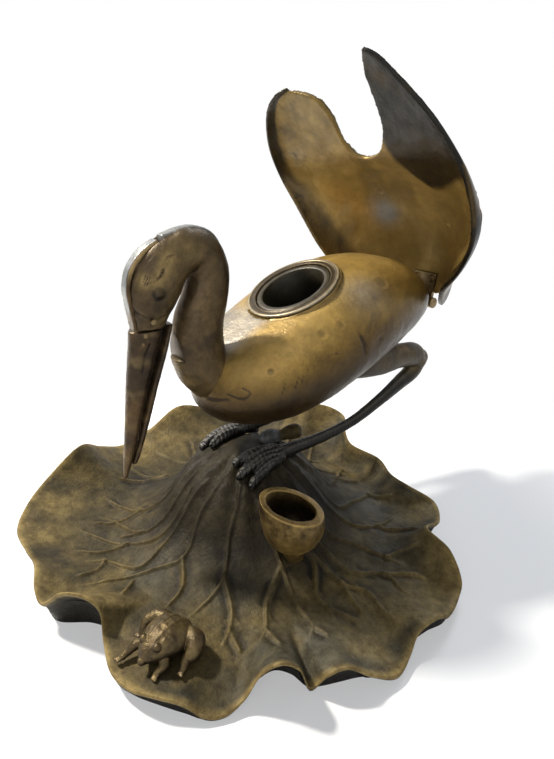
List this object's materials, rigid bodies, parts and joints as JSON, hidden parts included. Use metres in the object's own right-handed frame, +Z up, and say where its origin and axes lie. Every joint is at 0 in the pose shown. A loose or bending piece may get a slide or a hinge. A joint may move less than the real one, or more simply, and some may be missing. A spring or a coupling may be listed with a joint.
{
  "type": "figural inkstand",
  "caption": "Inkstand shaped as a long-billed wading bird on a wavy water leaf, with the raised tail as hinged lid of the ink well, a bud cup and a small frog.",
  "frame": {"origin": "on the table, below the middle of the leaf's raised centre", "axes": "+Z up, the bird faces -Y, the bird's left side is +X"},
  "size_m": [0.1871, 0.2024, 0.1932],
  "materials": {
    "bronze_leaf": "cast bronze with an olive brown patina, worn gold on the veins and the rim",
    "bronze_gilt": "cast bronze, golden brown, rubbed bright on the high places",
    "bronze_dark": "cast bronze with a very dark brown patina",
    "brass_ring": "turned brass, polished",
    "brass_pot": "drawn brass, dull brown inside",
    "brass_hardware": "brass screws, rivets, pins and spring, dull"
  },
  "bodies": {
    "base": {"leaf_base": "bronze_leaf", "bud_cup": "bronze_gilt", "frog": "bronze_gilt", "left_leg": "bronze_dark", "right_leg": "bronze_dark", "body_shell": "bronze_gilt", "neck_head": "bronze_dark", "lower_bill": "bronze_dark", "bill_pin": "brass_hardware", "bill_spring": "brass_hardware", "spring_rivet": "brass_hardware", "tail_hinge_leaf": "bronze_gilt", "hinge_pin": "brass_hardware", "tail_rivet_left": "brass_hardware", "tail_rivet_right": "brass_hardware", "left_foot_screw": "brass_hardware", "right_foot_screw": "brass_hardware", "cup_screw": "brass_hardware", "frog_screw": "brass_hardware", "left_hip_screw": "brass_hardware", "right_hip_screw": "brass_hardware", "neck_screw": "brass_hardware", "well_collar": "brass_ring"},
    "lid": {"lid_shell": "bronze_gilt", "lid_hinge_leaf": "bronze_gilt", "lid_rivet_left": "brass_hardware", "lid_rivet_right": "brass_hardware"},
    "bill": {"bill_lever": "bronze_dark"},
    "pot": {"ink_pot": "brass_pot"}
  },
  "joints": [
    {"name": "lid_hinge", "type": "hinge", "parent": "base", "child": "lid", "pos_m": [0, 0.1035, 0.0915], "axis": [1, 0, 0], "range_deg": [-12, 36]},
    {"name": "bill_rock", "type": "hinge", "parent": "base", "child": "bill", "pos_m": [0, -0.0402, 0.1078], "axis": [-1, 0, 0], "range_deg": [0, 3], "stiffness_Nm_per_rad": 0.3, "springref_deg": -5.73},
    {"name": "pot_lift", "type": "slide", "parent": "base", "child": "pot", "axis": [0, -0.4384, 0.8988], "range_m": [0, 0.005]}
  ]
}
